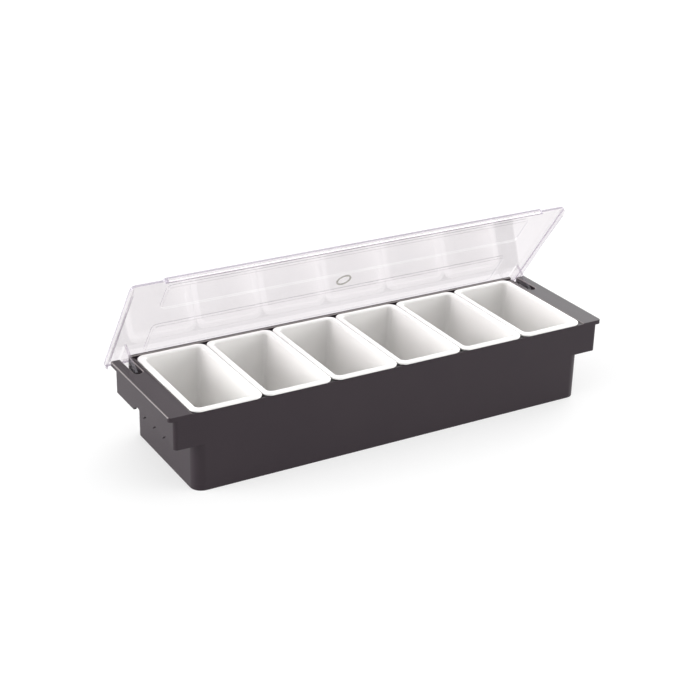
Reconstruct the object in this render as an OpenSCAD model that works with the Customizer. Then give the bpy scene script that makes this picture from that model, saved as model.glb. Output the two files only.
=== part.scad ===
// Condiment caddy: a moulded tub, a row of lift-out pans and one clear lid on two hinge blades.
// Origin: middle of the flat underside. +X along the row of pans, +Y to the hinge side, +Z up.

/* [Tub] */
// Width of each end flange, from the bay of pans to the end
flange_w = 24; // [20:0.5:30]
// Depth from front face to back face
tub_dep = 141; // [132:0.5:160]
// Height of the flange tops above the table
tub_h = 84.2; // [76:0.2:100]
// Thickness of the tub walls
wall = 2.8; // [2:0.1:3.6]
// Thickness of the tub floor
floor_t = 3; // [2:0.5:5]
// Plan radius of the tub's upright corners
body_r = 12; // [8:0.5:16]

/* [End flanges] */
// Thickness of the flange plate
flange_t = 4.6; // [3:0.2:6]
// Plan radius of the flange corners
flange_r = 4; // [3.5:0.5:8]
// How far the flange stands past its skirt
flange_over = 5.2; // [3:0.2:8]
// Drop of the skirt below the flange top
skirt_drop = 34.6; // [32:0.2:40]
// Round along the flanges' back top edge, that lets the lid's ends swing past
back_edge_r = 3; // [2:0.5:3.5]
// How far the rail behind the pans rises over the flanges
rail_rise = 2; // [1:0.1:2.5]
// Gap between the rail and the plate of the lid that swings over it
rail_gap = 0.3; // [0.2:0.05:0.5]

/* [Finger grips] */
// Number of scallops in each skirt
grip_count = 4; // [2:1:4]
// Distance between scallops
grip_pitch = 22.6; // [20:0.2:23]
// Width of one scallop at the skirt's edge
grip_w = 20; // [14:0.5:20]
// Height of a scallop
grip_h = 6; // [4:0.5:8]
// Distance from the front face to the first scallop's middle
grip_start = 18; // [14:0.5:20]

/* [Pans] */
// Number of pans in the row
pan_count = 6; // [5:1:6]
// Distance between pan centres
pan_pitch = 74.9; // [70:0.1:76]
// Gap between neighbouring rims
pan_gap = 0.6; // [0.4:0.1:1.2]
// Depth of the rim from front to back
pan_dep = 136.2; // [128:0.2:138]
// Thickness of the rim plate
rim_t = 2.2; // [1.6:0.1:2.8]
// Width of the rim around the opening
rim_w = 6.6; // [5.8:0.2:8]
// Plan radius of the rim's corners
rim_r = 9; // [7:0.5:12]
// Depth of a pan below its rim
pan_h = 72; // [55:1:74]
// Wall thickness of a pan
pan_wall = 1.8; // [1.4:0.1:2.4]
// How far each side of a pan leans in on the way down
pan_draft = 4; // [2:0.5:6]
// Bevel around the foot of a pan
foot_bevel = 4; // [3:0.5:5]
// How much sharper the body's upright corners are than the rim's, at the top
body_sharper = 0.6; // [0.4:0.1:1.5]
// How much sharper they are at the foot
foot_sharper = 2.5; // [2:0.1:3.5]

/* [Pan seat] */
// How far the seat lies below the flange top
seat_drop = 1; // [0.6:0.1:1.8]
// Play at each end of the row
row_play = 1.3; // [0.8:0.1:2]
// Where the row stands in its play: -1 slid to the left, 0 in the middle
row_side = -0.8; // [-1:0.1:1]
// How far the rims rest on the ledge along the back
rim_rest = 3.5; // [2.5:0.1:4.2]
// Gap between a resting rim and its seat
seat_gap = 0.2; // [0.1:0.05:0.3]
// How far the rims stand back from the tub's front face
rim_back = 0.1; // [0.1:0.1:0.6]
// Gap between the rims and the strip of wall behind them
strip_gap = 0.5; // [0.3:0.1:1]

/* [Lid] */
// Plate thickness
lid_t = 2.3; // [2:0.1:3]
// Depth of the turned-down edge, from the lid's top face
lid_edge = 5.8; // [5:0.1:7]
// Thickness of the turned-down edge
lid_edge_t = 2.8; // [2:0.1:3.4]
// Distance of the front edge behind the tub's front face, at the ends
lid_setback = 1.4; // [1:0.2:5]
// Distance of the rear edge behind the tub's back face
lid_rear = 0.4; // [0.2:0.1:1]
// Thickness of the front lip that hangs before the tub's front face
lip_t = 1.7; // [1.4:0.1:2.2]
// Gap between the hanging lip and the front face
lip_gap = 0.5; // [0.4:0.1:0.8]
// Plan radius of the lip's ends
lip_r = 4.5; // [2:0.5:5]
// Distance from each end of the lid to the lip
lip_inset = 31.5; // [30:0.5:45]
// Gap between the shut lid and the tub or the rims
shut_gap = 0.3; // [0.2:0.1:0.5]
// Clearance of the lid's ends over the tub's round back edge as the lid swings
swing_gap = 0.4; // [0.3:0.1:0.6]
// Length over which the turned-down edge fades out at the front
edge_fade = 9; // [5:0.5:14]
// Plan radius of the lid's corners
lid_r = 5; // [4:0.5:8]

/* [Lid panels] */
// Distance from each end of the lid to the raised panels
panel_inset = 40; // [36:1:50]
// How far the panels stand up
panel_rise = 0.8; // [0.5:0.1:1.2]
// Plan radius of the panel corners
panel_r = 6; // [4:0.5:8]
// Distance from the rear edge to the rear panel
rear_panel_y = 12; // [9:0.5:14]
// Width of the rear panel
rear_panel_w = 48; // [40:1:50]
// Width of the band between the panels
band_w = 29; // [24:1:32]
// Width of the front panel
front_panel_w = 39; // [34:1:40]
// Outer diameter of the round mark in the middle of the band
ring_d = 17; // [12:0.5:20]
// Width of the mark's raised ring
ring_w = 2; // [1:0.25:3]
// Height of the mark's raised ring
ring_h = 0.6; // [0.4:0.1:0.8]

/* [Hinge] */
// Distance of the hinge line in front of the back face
hinge_in = 9; // [8.5:0.1:9.5]
// Distance of the hinge line below the flange top
hinge_down = 17; // [16.5:0.1:17.5]
// Diameter of the hinge bar
bar_d = 6; // [5:0.5:6]
// Running clearance around the bar
bar_clear = 0.4; // [0.3:0.1:0.6]
// Wall of the hook around the bar
hook_wall = 3.1; // [2.4:0.1:3.2]
// Mouth of the hook, as a share of the bar's diameter
hook_mouth = 0.8; // [0.7:0.05:0.9]
// Width of the hook along the bar
hook_w = 6; // [5:0.5:7]
// How far the hinge blade's front edge lies in front of the hinge line
blade_reach = 28.5; // [26:0.5:30]
// How far the blade reaches below the hinge line when the lid is shut
blade_drop = 13; // [11:0.5:14]
// Radius about the hinge line that rounds off the blade's tip
blade_tip_r = 30.6; // [30:0.1:32]
// Gap over the notch floor when the lid is thrown right back
stop_gap = 0.4; // [0.3:0.1:1]
// Thickness of the hinge blade
blade_t = 3; // [2:0.25:4]
// Distance from the end of the tub to the middle of the blade
blade_x = 14.8; // [14:0.2:15.5]
// Width of the slot that the blade swings in
slot_w = 9.4; // [9:0.2:10]
// Clearance in front of the blade
slot_clear = 2.8; // [2.4:0.1:3.6]
// Where the lid stands in its sideways play: -1 slid to the left, 0 in the middle
lid_side = -0.8; // [-0.8:0.1:0.8]
// How far the lid is open, in degrees from shut
lid_open = 55; // [0:1:110]

/* [Hidden] */
$fn = 64;
// Overshoot of a cutter past the face that it opens
over = 1;
// Segments of a pan's corners
pan_fn = 28;

front_y = -tub_dep/2;
back_y = tub_dep/2;
skirt_z = tub_h - skirt_drop;
seat_z = tub_h - seat_drop;
flange_z = tub_h - flange_t;
row_len = pan_count*pan_pitch;
bay_half = row_len/2 + row_play;
tub_len = 2*(bay_half + flange_w);
inner_half = bay_half - row_play - wall;
body_half = inner_half + wall;
skirt_half = tub_len/2 - flange_over;
// The rims lie flush with the front face and stop short of the back wall's top strip
rim_front_y = front_y + rim_back;
rim_back_y = rim_front_y + pan_dep;
strip_y = rim_back_y + strip_gap;
row_x = row_side*row_play - (pan_count - 1)/2*pan_pitch;
ledge_y = rim_back_y - rim_rest;

hinge_y = back_y - hinge_in;
hinge_z = tub_h - hinge_down;
blade_mid = tub_len/2 - blade_x;
lid_slide = lid_side*(slot_w - hook_w)/2;
hook_r = bar_d/2 + bar_clear + hook_wall;
slot_front_y = hinge_y - blade_reach - slot_clear;
// The blade's rear edge stops on the notch floor when the lid is thrown right back
open_limit = 110;
stop_dip = (hook_r - hinge_in*cos(open_limit))/sin(open_limit);
notch_z = hinge_z - stop_dip - stop_gap;

lid_top = tub_h + shut_gap + lid_edge;
lid_under = lid_top - lid_t;
lid_rim_z = tub_h + shut_gap;
lid_front_y = front_y + lid_setback;
lid_back_y = back_y + lid_rear;
lip_half = tub_len/2 - lip_inset;
lip_front_y = front_y - lip_gap - lip_t;
plate_sweep_r = lid_under - hinge_z - rail_gap;
back_sweep_r = norm([hinge_in - back_edge_r, hinge_down - back_edge_r]) + back_edge_r + swing_gap;
rear_panel_back = lid_back_y - rear_panel_y;
band_back = rear_panel_back - rear_panel_w;
front_panel_back = band_back - band_w;
panel_half = tub_len/2 - panel_inset;

// Rectangle with round corners, centred, in the plane
module round_rect(l, w, r) {
    square([l - 2*r, w], center = true);
    square([l, w - 2*r], center = true);
    for (sx = [-1, 1], sy = [-1, 1])
        translate([sx*(l/2 - r), sy*(w/2 - r)]) circle(r);
}

// Block with round upright corners between two depths and two heights, centred along X
module round_block(l, y0, y1, z0, z1, r) {
    translate([0, (y0 + y1)/2, z0])
        linear_extrude(z1 - z0) round_rect(l, y1 - y0, r);
}

// Plain block centred along X
module mid_block(l, y0, y1, z0, z1) {
    translate([-l/2, y0, z0]) cube([l, y1 - y0, z1 - z0]);
}

// Profile drawn in the Y-Z plane, extruded along X and centred there
module along_x(l) {
    translate([-l/2, 0, 0]) rotate([90, 0, 90]) linear_extrude(l) children();
}

module tub_shell() {
    difference() {
        union() {
            round_block(2*body_half, front_y, back_y, 0, flange_z + over, body_r);
            round_block(tub_len, front_y, back_y, flange_z, tub_h, flange_r);
            difference() {
                round_block(2*skirt_half, front_y, back_y, skirt_z, flange_z + over, flange_r);
                round_block(2*(skirt_half - wall), front_y + wall, back_y - wall,
                    skirt_z - over, flange_z, flange_r - wall);
            }
        }
        round_block(2*inner_half, front_y + wall, back_y - wall,
            floor_t, seat_z - wall, body_r - wall);
        round_block(2*inner_half, front_y + wall, ledge_y,
            floor_t + body_r, tub_h + over, body_r - wall);
        mid_block(2*bay_half, front_y - over, strip_y, seat_z, tub_h + over);
    }
}

// Slot through one flange, round at its front end and open at the back
module hinge_slot() {
    translate([0, 0, flange_z - over]) linear_extrude(flange_t + 2*over) {
        translate([-slot_w/2, slot_front_y + slot_w/2])
            square([slot_w, back_y + over - slot_front_y - slot_w/2]);
        translate([0, slot_front_y + slot_w/2]) circle(slot_w/2);
    }
    translate([-slot_w/2, back_y - wall - over, notch_z])
        cube([slot_w, wall + 2*over, tub_h - notch_z + over]);
}

// Row of scallops through one skirt's lower edge
module finger_grips() {
    grip_r = (grip_w*grip_w/4 + grip_h*grip_h)/(2*grip_h);
    for (i = [0:grip_count - 1])
        translate([0, front_y + grip_start + i*grip_pitch, skirt_z + grip_h - grip_r])
            rotate([0, 90, 0]) cylinder(h = wall + 2*over, r = grip_r, center = true);
}

// What is cut away to round the long top edge at the back
module back_edge_cut() {
    along_x(tub_len + 2*over) difference() {
        translate([back_y - back_edge_r, tub_h - back_edge_r]) square(back_edge_r + over);
        translate([back_y - back_edge_r, tub_h - back_edge_r]) circle(back_edge_r);
    }
}

// Rail behind the pans, its top kept inside the path of the lid's plate
module back_rail() {
    along_x(2*blade_mid - slot_w) intersection() {
        translate([strip_y, seat_z]) square([back_y - strip_y, seat_drop + rail_rise]);
        translate([hinge_y, hinge_z]) circle(plate_sweep_r);
    }
}

module tub() {
    color([0.30, 0.28, 0.29]) {
        difference() {
            tub_shell();
            back_edge_cut();
            for (side = [-1, 1]) {
                translate([side*blade_mid, 0, 0]) hinge_slot();
                translate([side*(skirt_half - wall/2), 0, 0]) finger_grips();
            }
        }
        back_rail();
        for (side = [-1, 1])
            translate([side*(body_half + skirt_half - wall)/2, hinge_y, hinge_z])
                rotate([0, 90, 0]) cylinder(h = skirt_half - body_half, d = bar_d, center = true);
    }
}

// One layer of a pan, grow wider or narrower than the pan's body at the rim
module pan_layer(z, grow, r) {
    l = pan_pitch - pan_gap - 2*rim_w + 2*pan_wall + 2*grow;
    w = pan_dep - 2*rim_w + 2*pan_wall + 2*grow;
    translate([0, 0, z]) linear_extrude(0.01) round_rect(l, w, r, $fn = pan_fn);
}

// Leaning body of a pan: inset 0 is the outside, inset of one wall is the inside
module pan_body(inset, top) {
    r_top = rim_r - body_sharper;
    r_low = rim_r - foot_sharper;
    hull() {
        pan_layer(top, -inset, r_top - inset);
        pan_layer(-pan_h + foot_bevel + inset, -pan_draft - inset, r_low - inset);
        pan_layer(-pan_h + inset, -pan_draft - foot_bevel - inset, r_low - inset/2);
    }
}

// A pan with its rim's underside at height 0
module pan_solid() {
    difference() {
        union() {
            linear_extrude(rim_t) round_rect(pan_pitch - pan_gap, pan_dep, rim_r);
            pan_body(0, rim_t/4);
        }
        pan_body(pan_wall, rim_t + over);
    }
}

// Pan number i of the row, counted from the left
module pan(i) {
    if (i < pan_count)
        color([0.93, 0.93, 0.92])
            translate([row_x + i*pan_pitch, (rim_front_y + rim_back_y)/2, seat_z + seat_gap])
                pan_solid();
}

// Tray of the shut lid: plate, turned-down ends and hanging front lip
module lid_tray() {
    difference() {
        union() {
            round_block(tub_len, lid_front_y, lid_back_y, lid_rim_z, lid_top, lid_r);
            round_block(2*lip_half, lip_front_y, lid_front_y + 2*lip_r, lid_rim_z, lid_top, lip_r);
        }
        mid_block(tub_len - 2*lid_edge_t, lip_front_y + lip_t, lid_back_y + over,
            lid_rim_z - over, lid_under);
        for (side = [-1, 1])
            translate([side*(tub_len - lid_edge_t)/2, 0, 0]) along_x(lid_edge_t + over) edge_trim();
    }
}

// What is cut off the turned-down ends: a fade at the front, a hollow over the tub's back edge
module edge_trim() {
    fade_y = lid_front_y + edge_fade;
    polygon([[lip_front_y - over, lid_under], [lid_front_y, lid_under], [fade_y, lid_rim_z],
        [fade_y, lid_rim_z - over], [lip_front_y - over, lid_rim_z - over]]);
    translate([hinge_y, hinge_z]) circle(back_sweep_r);
}

// Outline of a panel between two depths, shrunk all round by inset
module panel_block(y0, y1, z0, z1, inset) {
    round_block(2*(panel_half - inset), y0 + inset, y1 - inset, z0, z1, panel_r - inset);
}

module lid_plate() {
    front_panel_front = front_panel_back - front_panel_w;
    difference() {
        union() {
            lid_tray();
            panel_block(band_back, rear_panel_back, lid_under, lid_top + panel_rise, 0);
            panel_block(front_panel_front, front_panel_back, lid_under, lid_top + panel_rise, 0);
        }
        panel_block(band_back, rear_panel_back, lid_under - over, lid_under + panel_rise, lid_t/2);
        panel_block(front_panel_front, front_panel_back,
            lid_under - over, lid_under + panel_rise, lid_t/2);
    }
    translate([0, band_back - band_w/2, lid_top - over/2]) difference() {
        cylinder(h = ring_h + over/2, d = ring_d);
        translate([0, 0, over/2]) cylinder(h = ring_h + over, d = ring_d - 2*ring_w);
    }
}

// Side view of a hinge blade on the shut lid, with the hinge line at 0, 0
module blade_outline() {
    up = lid_under - hinge_z + lid_t/2;
    translate([-blade_reach, 0]) square([blade_reach + hook_r, up]);
    intersection() {
        polygon([[0, 0], [-blade_reach, -blade_drop], [-blade_reach, 0]]);
        circle(blade_tip_r);
    }
    circle(hook_r);
}

module hinge_blade() {
    translate([0, hinge_y, hinge_z]) difference() {
        union() {
            along_x(blade_t) blade_outline();
            along_x(hook_w) circle(hook_r);
        }
        along_x(hook_w + 2*over) circle(bar_d/2 + bar_clear);
        along_x(hook_w + 2*over) translate([-bar_d*hook_mouth/2, -hook_r - over])
            square([bar_d*hook_mouth, hook_r + over]);
    }
}

module lid_shut() {
    lid_plate();
    for (side = [-1, 1])
        translate([side*blade_mid, 0, 0]) hinge_blade();
}

module lid() {
    color([0.86, 0.86, 0.92, 0.45])
        translate([lid_slide, hinge_y, hinge_z]) rotate([-lid_open, 0, 0])
            translate([0, -hinge_y, -hinge_z]) lid_shut();
}

tub();
pan(0);  // pan_1
pan(1);  // pan_2
pan(2);  // pan_3
pan(3);  // pan_4
pan(4);  // pan_5
pan(5);  // pan_6
lid();
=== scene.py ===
"""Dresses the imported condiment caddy: grained dark tub, six glossy white pans and a clear hinged lid.

Every length is in metres and every place is in the row frame: the origin is in the middle of the
tub's underside, +X runs along the row of pans, +Y to the hinge side and +Z up.
"""
import logging
import math
from collections.abc import Callable
from dataclasses import dataclass, field
from enum import Enum, IntEnum

import bmesh
import bpy
import numpy as np
from mathutils import Matrix, Vector


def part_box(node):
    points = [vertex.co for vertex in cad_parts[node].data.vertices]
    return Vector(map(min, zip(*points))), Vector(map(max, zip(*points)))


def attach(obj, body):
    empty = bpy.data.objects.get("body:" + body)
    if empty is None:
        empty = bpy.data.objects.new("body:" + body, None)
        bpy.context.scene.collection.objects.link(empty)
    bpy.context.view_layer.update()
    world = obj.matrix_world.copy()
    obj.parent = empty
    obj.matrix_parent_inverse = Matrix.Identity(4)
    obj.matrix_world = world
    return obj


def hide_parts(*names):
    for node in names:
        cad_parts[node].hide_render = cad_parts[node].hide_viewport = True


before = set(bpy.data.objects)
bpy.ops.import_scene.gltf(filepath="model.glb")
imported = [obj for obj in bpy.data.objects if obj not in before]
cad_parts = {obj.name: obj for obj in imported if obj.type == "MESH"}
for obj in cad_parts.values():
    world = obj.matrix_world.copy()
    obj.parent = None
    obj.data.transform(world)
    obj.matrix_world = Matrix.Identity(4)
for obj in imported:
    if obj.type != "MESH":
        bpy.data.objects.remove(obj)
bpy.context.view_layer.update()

LOG = logging.getLogger("caddy")
MM = 0.001
SHARP_ANGLE = math.radians(35)
FLAT_ANGLE = math.radians(0.5)
WELD_DISTANCE = 2e-6
CUT_TOLERANCE = 1e-7
FLAT_FACE_WEIGHT = 80
Colour = tuple[float, float, float]


def srgb(red: float, green: float, blue: float) -> Colour:
    """Turns a screen colour of 0 to 255 into the linear colour that a shader takes.

    Args:
        red: Screen red.
        green: Screen green.
        blue: Screen blue.

    Returns:
        The colour as three linear values.
    """
    screen = np.array([red, green, blue]) / 255.0
    linear = np.where(screen <= 0.04045, screen / 12.92, ((screen + 0.055) / 1.055) ** 2.4)
    return tuple(float(value) for value in linear)


class MaterialSheet:
    """A node material with one principled shader, filled in by its finish."""

    def __init__(self, name: str) -> None:
        """Starts a material of that name.

        Args:
            name: Name of the material.
        """
        self.material = bpy.data.materials.new(name)
        self.material.use_nodes = True
        self.tree = self.material.node_tree
        self.shader = self.tree.nodes["Principled BSDF"]

    def set(self, **values: object) -> None:
        """Sets shader sockets, with the socket's words joined by underscores.

        Args:
            **values: Socket names and their values.
        """
        for words, value in values.items():
            socket = self.shader.inputs[words.replace("_", " ")]
            if isinstance(value, tuple):
                value = (*value, 1.0)
            socket.default_value = value

    def node(self, kind: str, **sockets: float) -> bpy.types.Node:
        """Adds a node and sets its number sockets.

        Args:
            kind: Blender's name of the node type.
            **sockets: Socket names, words joined by underscores, and their numbers.

        Returns:
            The new node.
        """
        new = self.tree.nodes.new(kind)
        for words, value in sockets.items():
            new.inputs[words.replace("_", " ")].default_value = value
        return new

    def link(self, source: bpy.types.NodeSocket, target: bpy.types.NodeSocket) -> None:
        """Joins an output to an input."""
        self.tree.links.new(source, target)

    def object_space(self) -> bpy.types.NodeSocket:
        """Returns the output that holds each point's place on the piece."""
        return self.node("ShaderNodeTexCoord").outputs["Object"]

    def noise(self, place: bpy.types.NodeSocket, scale: float, detail: float) -> bpy.types.NodeSocket:
        """Adds soft noise.

        Args:
            place: Output with each point's place.
            scale: Lumps of noise along a metre.
            detail: How many finer layers lie on the noise.

        Returns:
            The output with the noise, from 0 to 1.
        """
        cloud = self.node("ShaderNodeTexNoise", Scale=scale, Detail=detail)
        self.link(place, cloud.inputs["Vector"])
        return cloud.outputs["Fac"]

    def two_tone(self, share: bpy.types.NodeSocket, dark: Colour, light: Colour) -> bpy.types.NodeSocket:
        """Mixes two close tones.

        Args:
            share: Output with the light tone's share.
            dark: The tone where the share is 0.
            light: The tone where the share is 1.

        Returns:
            The output with the colour.
        """
        tone = self.node("ShaderNodeMix")
        tone.data_type = "RGBA"
        tone.inputs["A"].default_value = (*dark, 1.0)
        tone.inputs["B"].default_value = (*light, 1.0)
        self.link(share, tone.inputs["Factor"])
        return tone.outputs["Result"]

    def bump(self, height: bpy.types.NodeSocket, strength: float, distance: float) -> None:
        """Raises the shader's surface by a height.

        Args:
            height: Output with the height, from 0 to 1.
            strength: How strongly it shows.
            distance: The height of 1 in metres.
        """
        raised = self.node("ShaderNodeBump", Strength=strength, Distance=distance)
        self.link(height, raised.inputs["Height"])
        self.link(raised.outputs["Normal"], self.shader.inputs["Normal"])


@dataclass(frozen=True)
class GrainedPlastic:
    """Dark moulded plastic with a fine matte grain and slightly uneven tone."""

    name: str
    dark: Colour
    light: Colour
    roughness: float
    gloss: float
    clouds_per_metre: float = 24.0
    grains_per_metre: float = 1500.0
    grain_strength: float = 0.35
    grain_depth: float = 0.12 * MM

    def make(self) -> bpy.types.Material:
        """Makes the finish: two close tones mixed by soft noise, with a noise bump for the grain.

        Returns:
            The material.
        """
        sheet = MaterialSheet(self.name)
        sheet.set(Roughness=self.roughness, Specular_IOR_Level=self.gloss)
        place = sheet.object_space()
        tone = sheet.two_tone(sheet.noise(place, self.clouds_per_metre, detail=3.0), self.dark, self.light)
        sheet.link(tone, sheet.shader.inputs["Base Color"])
        grain = sheet.noise(place, self.grains_per_metre, detail=2.0)
        sheet.bump(grain, self.grain_strength, self.grain_depth)
        return sheet.material


@dataclass(frozen=True)
class GlossyWhite:
    """White melamine-like plastic with a clean gloss and a very slight waviness."""

    dark: Colour = srgb(229, 228, 226)
    light: Colour = srgb(234, 233, 231)
    roughness: float = 0.16
    gloss: float = 0.5
    coat: float = 0.25
    coat_roughness: float = 0.06
    clouds_per_metre: float = 18.0
    ripples_per_metre: float = 60.0
    ripple_strength: float = 0.08
    ripple_depth: float = 0.3 * MM

    def make(self) -> bpy.types.Material:
        """Makes the finish: two near whites mixed by soft noise, rippled, under a thin coat.

        Returns:
            The material.
        """
        sheet = MaterialSheet("pan_glossy_white")
        sheet.set(Roughness=self.roughness, Specular_IOR_Level=self.gloss,
                  Coat_Weight=self.coat, Coat_Roughness=self.coat_roughness)
        place = sheet.object_space()
        tone = sheet.two_tone(sheet.noise(place, self.clouds_per_metre, detail=2.0), self.dark, self.light)
        sheet.link(tone, sheet.shader.inputs["Base Color"])
        ripple = sheet.noise(place, self.ripples_per_metre, detail=1.0)
        sheet.bump(ripple, self.ripple_strength, self.ripple_depth)
        return sheet.material


@dataclass(frozen=True)
class ClearPlastic:
    """Clear moulded plastic that lets light straight through, tints it and mirrors it at a slant."""

    name: str
    dark: Colour
    light: Colour
    milk: float = 0.0
    milk_colour: Colour = (0.62, 0.60, 0.64)
    milk_roughness: float = 0.4
    facing_gloss: float = 0.04
    slant_gloss: float = 0.96
    slant_power: float = 5.0
    roughness: float = 0.03
    clouds_per_metre: float = 9.0

    def mirror_share(self, sheet: MaterialSheet) -> bpy.types.NodeSocket:
        """Works out how much of the surface is a mirror.

        The share is facing_gloss + slant_gloss * (1 - cosine)^slant_power, with the cosine of the
        angle between the surface's normal and the line of sight.

        Args:
            sheet: The material that is being filled in.

        Returns:
            The output with the share.
        """
        slant = sheet.node("ShaderNodeLayerWeight", Blend=0.5)
        power = sheet.node("ShaderNodeMath")
        power.operation = "POWER"
        power.inputs[1].default_value = self.slant_power
        share = sheet.node("ShaderNodeMath")
        share.operation = "MULTIPLY_ADD"
        share.inputs[1].default_value = self.slant_gloss
        share.inputs[2].default_value = self.facing_gloss
        sheet.link(slant.outputs["Facing"], power.inputs[0])
        sheet.link(power.outputs[0], share.inputs[0])
        return share.outputs[0]

    def make(self) -> bpy.types.Material:
        """Makes the finish: a see-through tinted by soft noise, part of it milky, mixed with a mirror.

        Returns:
            The material.
        """
        sheet = MaterialSheet(self.name)
        sheet.set(Base_Color=self.milk_colour, Roughness=self.milk_roughness)
        noise = sheet.noise(sheet.object_space(), self.clouds_per_metre, detail=1.0)
        see_through = sheet.node("ShaderNodeBsdfTransparent")
        sheet.link(sheet.two_tone(noise, self.dark, self.light), see_through.inputs["Color"])
        mirror = sheet.node("ShaderNodeBsdfAnisotropic", Roughness=self.roughness)
        mirror.inputs["Color"].default_value = (1.0, 1.0, 1.0, 1.0)
        milky = sheet.node("ShaderNodeMixShader")
        milky.inputs[0].default_value = self.milk
        sheet.link(see_through.outputs[0], milky.inputs[1])
        sheet.link(sheet.shader.outputs[0], milky.inputs[2])
        both = sheet.node("ShaderNodeMixShader")
        sheet.link(self.mirror_share(sheet), both.inputs[0])
        sheet.link(milky.outputs[0], both.inputs[1])
        sheet.link(mirror.outputs[0], both.inputs[2])
        sheet.link(both.outputs[0], sheet.tree.nodes["Material Output"].inputs["Surface"])
        return sheet.material


@dataclass(frozen=True)
class PaleFloor:
    """Pale floor, faintly lit from within as a light table is."""

    dark: Colour = (0.38, 0.38, 0.38)
    light: Colour = (0.40, 0.40, 0.40)
    glow: float = 0.56
    roughness: float = 0.8
    gloss: float = 0.2
    clouds_per_metre: float = 2.0

    def make(self) -> bpy.types.Material:
        """Makes the finish: two close greys mixed by soft noise, with an even glow.

        Returns:
            The material.
        """
        sheet = MaterialSheet("floor_pale")
        sheet.set(Roughness=self.roughness, Specular_IOR_Level=self.gloss,
                  Emission_Color=(1.0, 1.0, 1.0), Emission_Strength=self.glow)
        noise = sheet.noise(sheet.object_space(), self.clouds_per_metre, detail=2.0)
        sheet.link(sheet.two_tone(noise, self.dark, self.light), sheet.shader.inputs["Base Color"])
        return sheet.material


class Place(Enum):
    """Which body of the frame a piece rides on."""

    TUB = "tub"
    LID = "lid"


def new_object(name: str, mesh: bpy.types.Mesh, material: bpy.types.Material) -> bpy.types.Object:
    """Puts a mesh into the scene as an object at the origin, with one material.

    Args:
        name: Name of the piece.
        mesh: Its mesh, already in the row frame.
        material: Its only material.

    Returns:
        The new object.
    """
    piece = bpy.data.objects.new(name, mesh)
    mesh.materials.clear()
    mesh.materials.append(material)
    bpy.context.scene.collection.objects.link(piece)
    return piece


def welded_copy(node: str, name: str) -> bpy.types.Mesh:
    """Copies a CAD node's mesh, merges its loose triangles and joins those that lie in one plane.

    Args:
        node: Name of the CAD node.
        name: Name of the new mesh.

    Returns:
        The merged mesh.
    """
    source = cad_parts[node]
    mesh = source.data.copy()
    mesh.name = name
    mesh.transform(source.matrix_world)
    work = bmesh.new()
    work.from_mesh(mesh)
    bmesh.ops.remove_doubles(work, verts=work.verts, dist=WELD_DISTANCE)
    bmesh.ops.dissolve_limit(work, angle_limit=FLAT_ANGLE, verts=work.verts, edges=work.edges)
    bmesh.ops.recalc_face_normals(work, faces=work.faces)
    for face in work.faces:
        face.smooth = True
    work.to_mesh(mesh)
    work.free()
    return mesh


def weigh_edges(mesh: bpy.types.Mesh, wanted: Callable[[bmesh.types.BMEdge], bool]) -> None:
    """Marks the sharp outward edges that are to be rounded, and keeps all other sharp edges sharp.

    Args:
        mesh: The piece's mesh.
        wanted: Tells whether a sharp outward edge is one to round.
    """
    work = bmesh.new()
    work.from_mesh(mesh)
    weights = work.edges.layers.float.new("bevel_weight_edge")
    for edge in work.edges:
        if len(edge.link_faces) == 2 and edge.calc_face_angle() > SHARP_ANGLE:
            rounded = edge.is_convex and wanted(edge)
            edge[weights] = float(rounded)
            edge.smooth = rounded
    work.to_mesh(mesh)
    work.free()


def round_edges(piece: bpy.types.Object, width: float, segments: int, slot: int, clamped: bool) -> None:
    """Rounds the marked edges and keeps the flat faces flat in the light.

    Args:
        piece: The piece to finish.
        width: Width of the rounding.
        segments: Number of faces across it.
        slot: Material slot of the rounding.
        clamped: Whether the rounding stays narrow enough for the shortest edge.
    """
    bevel = piece.modifiers.new("edge_round", "BEVEL")
    bevel.width = width
    bevel.segments = segments
    bevel.limit_method = "WEIGHT"
    bevel.use_clamp_overlap = clamped
    bevel.miter_outer = "MITER_ARC"
    bevel.material = slot
    normals = piece.modifiers.new("flat_light", "WEIGHTED_NORMAL")
    normals.weight = FLAT_FACE_WEIGHT
    normals.keep_sharp = True


def round_rectangle(half_x: np.ndarray, half_y: np.ndarray, radius: np.ndarray, steps: int) -> np.ndarray:
    """Rings of points round rectangles with round corners.

    Each corner is a quarter circle about (half - radius) from the middle, and the rings run
    anticlockwise from the +X side. The straight sides lie between the quarter circles' ends.

    Args:
        half_x: Half the length of each ring.
        half_y: Half the width of each ring.
        radius: Corner radius of each ring.
        steps: Points on each quarter circle.

    Returns:
        An array of rings, points and the two coordinates.
    """
    corner = np.repeat(np.arange(4), steps)
    turn = np.tile(np.linspace(0.0, math.pi / 2, steps), 4) + corner * math.pi / 2
    sign_x = np.where((corner == 0) | (corner == 3), 1.0, -1.0)
    sign_y = np.where(corner < 2, 1.0, -1.0)
    x = sign_x * (half_x - radius)[:, None] + radius[:, None] * np.cos(turn)
    y = sign_y * (half_y - radius)[:, None] + radius[:, None] * np.sin(turn)
    return np.stack([x, y], axis=2)


def quarter(centre: tuple[float, float], radius: float, start: float, end: float, steps: int) -> np.ndarray:
    """Points on a stretch of circle in the profile plane.

    Args:
        centre: Middle of the circle.
        radius: Its radius.
        start: First angle in degrees, 0 towards the first coordinate and 90 towards the second.
        end: Last angle in degrees.
        steps: Number of points.

    Returns:
        An array of points and the two coordinates.
    """
    turn = np.radians(np.linspace(start, end, steps))
    return np.stack([centre[0] + radius * np.cos(turn), centre[1] + radius * np.sin(turn)], axis=1)


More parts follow.
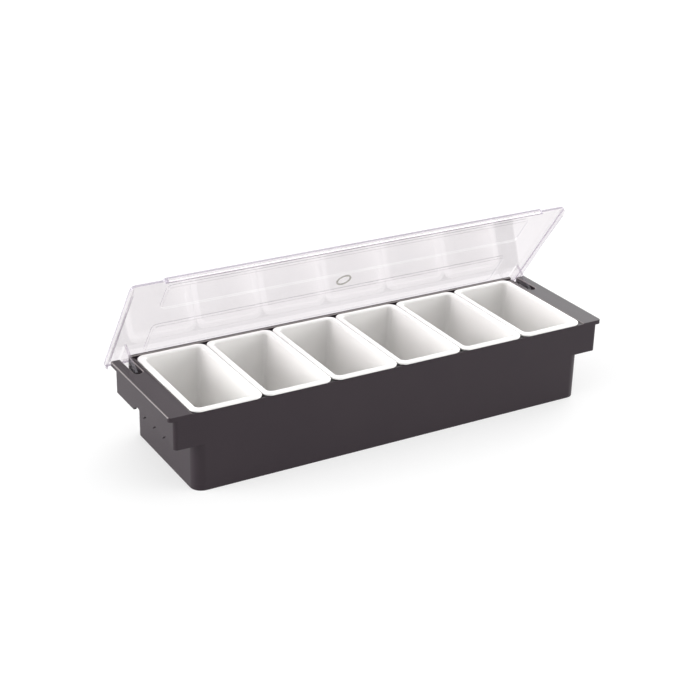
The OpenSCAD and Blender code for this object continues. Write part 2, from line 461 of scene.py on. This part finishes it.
def lofted(name: str, rings: np.ndarray) -> bpy.types.Mesh:
    """Closed skin through a stack of rings, with a flat face over the first and the last ring.

    Point j of ring i joins point j of ring i + 1, and the last point of a ring joins its first.

    Args:
        name: Name of the mesh.
        rings: Array of rings, points and three coordinates, with the outside on the left of the
            way that the rings go up.

    Returns:
        The mesh, smooth all over.
    """
    count, points = rings.shape[:2]
    index = np.arange(count * points).reshape(count, points)
    ahead = np.roll(index, -1, axis=1)
    quads = np.stack([index[:-1], ahead[:-1], ahead[1:], index[1:]], axis=2).reshape(-1, 4)
    caps = [index[0][::-1].tolist(), index[-1].tolist()]
    mesh = bpy.data.meshes.new(name)
    mesh.from_pydata(rings.reshape(-1, 3), [], quads.tolist() + caps)
    mesh.polygons.foreach_set("use_smooth", np.ones(len(mesh.polygons), dtype=bool))
    mesh.update()
    return mesh


@dataclass
class Tub:
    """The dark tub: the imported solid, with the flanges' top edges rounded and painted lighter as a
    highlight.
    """

    edge_width: float = 0.9 * MM
    edge_segments: int = 3
    flange_from: float = 225.7 * MM
    flange_above: float = 80.5 * MM
    front_edge: float = -68.0 * MM
    finish: GrainedPlastic = GrainedPlastic(
        "tub_grained_plastic", dark=(0.0175, 0.0100, 0.0155), light=(0.0220, 0.0135, 0.0185),
        roughness=0.42, gloss=0.30)
    # Lighter, glossier tones on the rounded flange edges: a painted highlight, standing in for the light
    # line these edges catch.
    painted_highlight_finish: GrainedPlastic = GrainedPlastic(
        "tub_edge_painted_highlight", dark=(0.1700, 0.1500, 0.1480), light=(0.2200, 0.1950, 0.1900),
        roughness=0.26, gloss=0.8)

    def is_painted_highlight_edge(self, edge: bmesh.types.BMEdge) -> bool:
        """Tells whether an edge lies at a flange's top and not along its front.

        Args:
            edge: An edge of the tub's mesh.

        Returns:
            True if the edge gets the painted highlight.
        """
        ends = [corner.co for corner in edge.verts]
        on_flange = all(abs(end.x) > self.flange_from and end.z > self.flange_above for end in ends)
        return on_flange and max(end.y for end in ends) > self.front_edge

    def build(self) -> bpy.types.Object:
        """Builds the tub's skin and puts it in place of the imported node.

        Returns:
            The finished piece.
        """
        mesh = welded_copy("tub", "tub_skin")
        piece = new_object("tub_skin", mesh, self.finish.make())
        mesh.materials.append(self.painted_highlight_finish.make())
        # Only the flange edges away from the front get the painted highlight.
        weigh_edges(mesh, self.is_painted_highlight_edge)
        round_edges(piece, self.edge_width, self.edge_segments, slot=1, clamped=False)
        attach(piece, Place.TUB.value)
        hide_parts("tub")
        return piece


@dataclass
class Pan:
    """One white pan, as a profile carried round a rectangle with round corners.

    The profile's first coordinate is how far it lies in from the rim's edge, and its second is
    the height over the rim's underside. The plan's corner radius shrinks with the first one. The
    underside and the inner floor reach in by so many times the radius of the foot beside them.
    """

    node: str
    rim_radius: float = 9.0 * MM
    rim_thick: float = 2.2 * MM
    rim_width: float = 6.6 * MM
    wall: float = 1.8 * MM
    depth: float = 72.0 * MM
    draft: float = 4.0 * MM
    foot_radius: float = 4.0 * MM
    edge_radius: float = 0.8 * MM
    under_edge_radius: float = 0.4 * MM
    lip_radius: float = 1.7 * MM
    corner_shrink: float = 0.55
    corner_least: float = 3.2 * MM
    underside_reach: float = 3.0
    floor_reach: float = 2.0
    corner_points: int = 14
    foot_points: int = 7
    under_rim_points: int = 5
    under_edge_points: int = 4
    edge_points: int = 6
    lip_points: int = 8
    inner_points: int = 9

    def profile(self) -> np.ndarray:
        """Works out the section from the middle of the underside, round the rim, to the inner floor.

        The walls lean in by the draft over the depth, and every corner is a stretch of circle.

        Returns:
            An array of points and the two coordinates.
        """
        outer_top = self.rim_width - self.wall
        lean = self.draft / (self.depth - self.foot_radius)
        foot_in = outer_top + self.draft
        foot_z = -self.depth + self.foot_radius
        inner_radius = self.foot_radius + self.wall
        floor_z = -self.depth + self.wall
        underside = np.array([[foot_in + self.underside_reach * self.foot_radius, -self.depth]])
        foot = quarter((foot_in + self.foot_radius, foot_z), self.foot_radius, 270, 180, self.foot_points)
        under_centre = (outer_top - self.edge_radius, -self.edge_radius)
        under_rim = quarter(under_centre, self.edge_radius, 0, 90, self.under_rim_points)
        under_rim[:, 0] += lean * self.edge_radius
        low_centre = (self.under_edge_radius, self.under_edge_radius)
        low_edge = quarter(low_centre, self.under_edge_radius, 270, 180, self.under_edge_points)
        high_centre = (self.edge_radius, self.rim_thick - self.edge_radius)
        high_edge = quarter(high_centre, self.edge_radius, 180, 90, self.edge_points)
        lip_centre = (self.rim_width - self.lip_radius, self.rim_thick - self.lip_radius)
        lip = quarter(lip_centre, self.lip_radius, 90, 0, self.lip_points)
        inner_centre = (self.rim_width + self.draft + inner_radius, floor_z + inner_radius)
        inner_foot = quarter(inner_centre, inner_radius, 180, 270, self.inner_points)
        floor = np.array([[inner_centre[0] + self.floor_reach * inner_radius, floor_z]])
        return np.concatenate([underside, foot, under_rim, low_edge, high_edge, lip, inner_foot, floor])

    def build(self, finish: bpy.types.Material) -> bpy.types.Object:
        """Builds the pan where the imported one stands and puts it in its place.

        Args:
            finish: The white finish that all pans share.

        Returns:
            The finished piece.
        """
        low, high = (np.array(corner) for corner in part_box(self.node))
        middle = (low + high) / 2
        half = (high - low) / 2
        section = self.profile()
        inset = section[:, 0]
        corner = np.clip(self.rim_radius - self.corner_shrink * inset, self.corner_least, None)
        plan = round_rectangle(half[0] - inset, half[1] - inset, corner, self.corner_points)
        height = np.broadcast_to((section[:, 1] + high[2] - self.rim_thick)[:, None], plan.shape[:2])
        rings = np.stack([plan[..., 0] + middle[0], plan[..., 1] + middle[1], height], axis=2)
        piece = new_object(self.node + "_skin", lofted(self.node + "_skin", rings), finish)
        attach(piece, self.node)
        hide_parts(self.node)
        return piece


@dataclass
class PanRow:
    """The six pans in the tub."""

    count: int = 6
    finish: GlossyWhite = field(default_factory=GlossyWhite)

    def build(self) -> list[bpy.types.Object]:
        """Builds every pan from left to right.

        Returns:
            The finished pieces.
        """
        white = self.finish.make()
        return [Pan(f"pan_{number}").build(white) for number in range(1, self.count + 1)]


class LidFinish(IntEnum):
    """Material slots of the lid's skin."""

    BODY = 0
    RIM = 1
    STEP = 2
    BRIGHT = 3
    MARK = 4
    BLADE = 5
    FAINT = 6
    BLADE_EDGE = 7
    WALL = 8


@dataclass
class ClearLid:
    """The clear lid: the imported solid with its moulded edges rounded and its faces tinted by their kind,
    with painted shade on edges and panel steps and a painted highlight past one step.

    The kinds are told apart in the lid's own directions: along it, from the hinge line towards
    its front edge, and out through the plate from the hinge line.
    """

    edge_width: float = 0.65 * MM
    edge_segments: int = 2
    narrow: float = 3.4 * MM
    open_angle: float = math.radians(55)
    hinge: tuple[float, float] = (61.5 * MM, 67.2 * MM)
    plate_under: float = 20.6 * MM
    plate_over: float = 22.9 * MM
    wall_from: float = 18.0 * MM
    wall_least: float = 2.6 * MM
    blade_least: float = 14.0 * MM
    lip_from: float = 129.0 * MM
    outline_from: float = 21.2 * MM
    panel_half: float = 211.0 * MM
    rear_panel: tuple[float, float] = (2.0 * MM, 51.2 * MM)
    front_panel: tuple[float, float] = (79.0 * MM, 119.5 * MM)
    highlight_reach: float = 2.0 * MM
    mark_reach: float = 12.0 * MM
    mark_rise: float = 0.3 * MM
    finishes: dict[LidFinish, ClearPlastic] = field(default_factory=lambda: {
        LidFinish.BODY: ClearPlastic(
            "lid_clear_plastic", dark=(0.886, 0.869, 0.880), light=(0.906, 0.890, 0.901)),
        # Darker milky tint on narrow edge faces and rounded edges: painted shade standing in for the dark
        # lines that refraction draws along clear edges.
        LidFinish.RIM: ClearPlastic(
            "lid_edge_painted_shade", dark=(0.52, 0.48, 0.55), light=(0.60, 0.56, 0.63),
            milk=0.33, milk_colour=(0.54, 0.50, 0.57)),
        LidFinish.STEP: ClearPlastic(
            # Greyer tint on the outer panel steps: painted shade standing in for the line that refraction
            # draws along each step.
            "lid_panel_line_painted_shade", dark=(0.79, 0.77, 0.81), light=(0.83, 0.81, 0.84), milk=0.08),
        # Near-clear tint on the strip past the front panel's step: a painted highlight.
        LidFinish.BRIGHT: ClearPlastic(
            "lid_step_painted_highlight", dark=(0.96, 0.96, 0.96), light=(0.98, 0.98, 0.98)),
        LidFinish.MARK: ClearPlastic(
            "lid_round_mark", dark=(0.48, 0.48, 0.44), light=(0.56, 0.56, 0.51),
            milk=0.25, milk_colour=(0.42, 0.42, 0.38)),
        LidFinish.BLADE: ClearPlastic(
            "lid_hinge_blade", dark=(0.975, 0.965, 0.970), light=(0.985, 0.975, 0.980), milk=0.03),
        LidFinish.FAINT: ClearPlastic(
            "lid_panel_hollow", dark=(0.93, 0.92, 0.93), light=(0.96, 0.95, 0.96)),
        # Darker milky tint on the hinge blade's narrow edges: painted shade standing in for the lines that
        # refraction draws along them.
        LidFinish.BLADE_EDGE: ClearPlastic(
            "lid_blade_line_painted_shade", dark=(0.76, 0.73, 0.77), light=(0.81, 0.78, 0.82),
            milk=0.13, milk_colour=(0.52, 0.50, 0.55)),
        LidFinish.WALL: ClearPlastic(
            "lid_end_wall", dark=(0.880, 0.864, 0.876), light=(0.900, 0.885, 0.896))})

    def split_outline(self, mesh: bpy.types.Mesh) -> None:
        """Cuts the lid's upright faces at one depth, so that their outer strip can take the edges' painted
        shade.

        Args:
            mesh: The lid's mesh.
        """
        outward = Vector((0.0, math.sin(self.open_angle), math.cos(self.open_angle)))
        work = bmesh.new()
        work.from_mesh(mesh)
        parts = [*work.verts, *work.edges, *work.faces]
        bmesh.ops.bisect_plane(work, geom=parts, dist=CUT_TOLERANCE, plane_no=outward,
                               plane_co=Vector((0.0, *self.hinge)) + outward * self.outline_from)
        work.to_mesh(mesh)
        work.free()

    def own_places(self, mesh: bpy.types.Mesh) -> np.ndarray:
        """Turns the vertices into the lid's own directions.

        With the lid open by an angle, a vertex at y and z from the hinge line lies
        z * sine - y * cosine ahead and y * sine + z * cosine out.

        Args:
            mesh: The lid's mesh.

        Returns:
            How far each vertex lies along, ahead and out.
        """
        points = np.empty(len(mesh.vertices) * 3)
        mesh.vertices.foreach_get("co", points)
        points = points.reshape(-1, 3) - np.array([0.0, *self.hinge])
        cosine, sine = math.cos(self.open_angle), math.sin(self.open_angle)
        return points @ np.array([[1, 0, 0], [0, -cosine, sine], [0, sine, cosine]]).T

    def face_boxes(self, mesh: bpy.types.Mesh) -> tuple[np.ndarray, np.ndarray]:
        """Works out the box round each face in the lid's own directions.

        Args:
            mesh: The lid's mesh.

        Returns:
            The low corners and the high corners.
        """
        corners = np.empty(len(mesh.loops), dtype=np.int64)
        mesh.loops.foreach_get("vertex_index", corners)
        start = np.empty(len(mesh.polygons), dtype=np.int64)
        mesh.polygons.foreach_get("loop_start", start)
        places = self.own_places(mesh)[corners]
        return np.minimum.reduceat(places, start), np.maximum.reduceat(places, start)

    def kinds(self, mesh: bpy.types.Mesh) -> np.ndarray:
        """Sorts the faces into the lid's finishes.

        A face is a narrow strip, such as an edge or a panel's step, if the middle one of its three
        extents in the lid's own directions is small. Where two rules fit a face, the later counts.

        Args:
            mesh: The lid's mesh.

        Returns:
            One material slot per face.
        """
        low, high = self.face_boxes(mesh)
        along, ahead, out = ((low + high) / 2).T
        height = high[:, 2] - low[:, 2]
        narrow = np.sort(high - low, axis=1)[:, 1] < self.narrow
        under = out < self.plate_under
        tall = height > self.blade_least
        # Narrow edge strips take the edges' painted shade.
        kind = np.where(narrow, LidFinish.RIM, LidFinish.BODY)
        kind[under | tall] = LidFinish.BLADE
        # Narrow strips of the blade take its painted edge shade.
        kind[narrow & (under | tall)] = LidFinish.BLADE_EDGE
        kind[(height > self.wall_least) & (out > self.wall_from) & ~tall] = LidFinish.WALL
        kind[narrow & under & (ahead > self.lip_from)] = LidFinish.RIM
        step = narrow & (np.abs(along) < self.panel_half)
        # Outer panel steps take the painted shade; inner ones take the fainter tint.
        for first, last in (self.rear_panel, self.front_panel):
            here = step & (ahead > first) & (ahead < last)
            kind[here] = np.where(out[here] > self.plate_over, LidFinish.STEP, LidFinish.FAINT)
        # The strip just past the front panel's step gets the painted highlight.
        past_step = ahead - self.front_panel[0]
        kind[step & (np.abs(past_step - self.highlight_reach) < self.highlight_reach)] = LidFinish.BRIGHT
        band = (self.rear_panel[1] + self.front_panel[0]) / 2
        mark = (np.abs(ahead - band) < self.mark_reach) & (np.abs(along) < self.mark_reach)
        kind[mark & (out > self.plate_over + self.mark_rise)] = LidFinish.MARK
        return kind

    def build(self) -> bpy.types.Object:
        """Builds the lid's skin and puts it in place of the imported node.

        Returns:
            The finished piece.
        """
        mesh = welded_copy("lid", "lid_skin")
        piece = new_object("lid_skin", mesh, self.finishes[LidFinish.BODY].make())
        for kind in list(LidFinish)[1:]:
            mesh.materials.append(self.finishes[kind].make())
        self.split_outline(mesh)
        mesh.polygons.foreach_set("material_index", self.kinds(mesh).astype(np.int32))
        plain = {LidFinish.BODY, LidFinish.RIM, LidFinish.BLADE, LidFinish.WALL}
        weigh_edges(mesh, lambda edge: all(face.material_index in plain for face in edge.link_faces))
        # The rounded edges take the edges' painted shade.
        round_edges(piece, self.edge_width, self.edge_segments, slot=LidFinish.RIM, clamped=True)
        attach(piece, Place.LID.value)
        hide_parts("lid")
        return piece


@dataclass(frozen=True)
class Glow:
    """A soft bright part of the surroundings."""

    direction: tuple[float, float, float]
    sharpness: float
    strength: float


@dataclass
class Studio:
    """Pale floor, soft lights and the camera at the photograph's angle."""

    azimuth: float = -30.821
    elevation: float = 24.697
    roll: float = 1.541
    lens_mm: float = 79.683
    distance: float = 1.597377
    aim: Vector = field(default_factory=lambda: Vector((0.0, 0.0, 0.05)))
    slide_right: float = -14.508 * MM
    slide_up: float = 20.074 * MM
    sensor_mm: float = 36.0
    sight: float = 50.0
    floor_finish: PaleFloor = PaleFloor()
    floor_reach: float = 12.0
    lamp_place: tuple[float, float, float] = (0.0, -0.5, 2.4)
    lamp_target: tuple[float, float, float] = (0.0, 0.0, 0.06)
    lamp_side: float = 2.4
    lamp_power: float = 15.0
    even: float = 0.44
    glows: tuple[Glow, ...] = (
        Glow((-0.93, 0.30, 0.16), 9.0, 9.0), Glow((0.80, 0.50, 0.30), 12.0, 4.2),
        Glow((0.35, 0.84, 0.42), 14.0, 1.2), Glow((0.88, -0.46, 0.10), 9.0, 6.0))

    def camera(self) -> bpy.types.Object:
        """Sets the camera.

        The view axis comes from azimuth and elevation, the picture's right and up turn about it
        by the roll, and the camera stands back along the axis and slides in the picture's plane.

        Returns:
            The camera object.
        """
        azimuth, elevation, roll = (math.radians(a) for a in (self.azimuth, self.elevation, self.roll))
        back = Vector((math.sin(azimuth) * math.cos(elevation), -math.cos(azimuth) * math.cos(elevation),
                       math.sin(elevation)))
        level = Vector((math.cos(azimuth), math.sin(azimuth), 0.0))
        upright = back.cross(level)
        right = level * math.cos(roll) + upright * math.sin(roll)
        up = upright * math.cos(roll) - level * math.sin(roll)
        place = self.aim + back * self.distance + right * self.slide_right + up * self.slide_up
        data = bpy.data.cameras.new("camera")
        data.sensor_width = self.sensor_mm
        data.lens = self.lens_mm
        data.clip_end = self.sight
        camera = bpy.data.objects.new("camera", data)
        camera.matrix_world = Matrix((
            (right.x, up.x, back.x, place.x), (right.y, up.y, back.y, place.y),
            (right.z, up.z, back.z, place.z), (0.0, 0.0, 0.0, 1.0)))
        bpy.context.scene.collection.objects.link(camera)
        bpy.context.scene.camera = camera
        return camera

    def floor(self) -> bpy.types.Object:
        """Lays a wide pale floor at the height of the tub's underside.

        Returns:
            The floor object.
        """
        reach = self.floor_reach
        mesh = bpy.data.meshes.new("floor")
        mesh.from_pydata([(-reach, -reach, 0), (reach, -reach, 0), (reach, reach, 0), (-reach, reach, 0)],
                         [], [(0, 1, 2, 3)])
        floor = new_object("floor", mesh, self.floor_finish.make())
        return floor

    def lamp(self) -> None:
        """Hangs a square soft light over the part and points it at the target."""
        place, target = Vector(self.lamp_place), Vector(self.lamp_target)
        data = bpy.data.lights.new("top_light", "AREA")
        data.shape = "SQUARE"
        data.size = self.lamp_side
        data.energy = self.lamp_power
        lamp = bpy.data.objects.new("top_light", data)
        lamp.location = place
        lamp.rotation_euler = (target - place).to_track_quat("-Z", "Y").to_euler()
        bpy.context.scene.collection.objects.link(lamp)

    def picture_tone(self) -> None:
        """Sets a plain picture tone."""
        view = bpy.context.scene.view_settings
        view.view_transform = "Standard"
        view.look = "None"

    def surroundings(self) -> None:
        """Sets the white surroundings, brighter round a few directions near the horizon.

        The brightness is the even part plus, for each glow, its strength times the cosine of the
        angle to the glow's direction raised to its sharpness, with negative cosines counted as 0.
        """
        world = bpy.data.worlds.new("surroundings")
        world.use_nodes = True
        tree = world.node_tree
        backdrop = tree.nodes["Background"]
        backdrop.inputs["Color"].default_value = (1.0, 1.0, 1.0, 1.0)
        direction = tree.nodes.new("ShaderNodeTexCoord").outputs["Generated"]
        total = None
        for glow in self.glows:
            toward = tree.nodes.new("ShaderNodeVectorMath")
            toward.operation = "DOT_PRODUCT"
            toward.inputs[1].default_value = Vector(glow.direction).normalized()
            tree.links.new(direction, toward.inputs[0])
            value = self.sum_node(tree, "MAXIMUM", toward.outputs["Value"], 0.0)
            value = self.sum_node(tree, "POWER", value, glow.sharpness)
            value = self.sum_node(tree, "MULTIPLY", value, glow.strength)
            total = self.sum_node(tree, "ADD", value, self.even if total is None else total)
        tree.links.new(total, backdrop.inputs["Strength"])
        bpy.context.scene.world = world

    @staticmethod
    def sum_node(tree: bpy.types.NodeTree, operation: str, first: bpy.types.NodeSocket,
                 second: "bpy.types.NodeSocket | float") -> bpy.types.NodeSocket:
        """Adds a sum to a node tree.

        Args:
            tree: The node tree.
            operation: Blender's name of the sum.
            first: The first value.
            second: The second value, an output or a plain number.

        Returns:
            The output with the result.
        """
        node = tree.nodes.new("ShaderNodeMath")
        node.operation = operation
        tree.links.new(first, node.inputs[0])
        if isinstance(second, bpy.types.NodeSocket):
            tree.links.new(second, node.inputs[1])
        else:
            node.inputs[1].default_value = second
        return node.outputs[0]

    def build(self) -> None:
        """Sets up the whole studio."""
        self.camera()
        self.floor()
        self.picture_tone()
        self.surroundings()
        self.lamp()


def main() -> None:
    """Builds the studio, the tub, the pans and the lid, and reports each piece."""
    logging.basicConfig(level=logging.INFO, format="%(name)s: %(message)s")
    Studio().build()
    pieces = [Tub().build(), *PanRow().build(), ClearLid().build()]
    for piece in pieces:
        LOG.info("%s: %d faces", piece.name, len(piece.data.polygons))


if __name__ == "__main__":
    main()
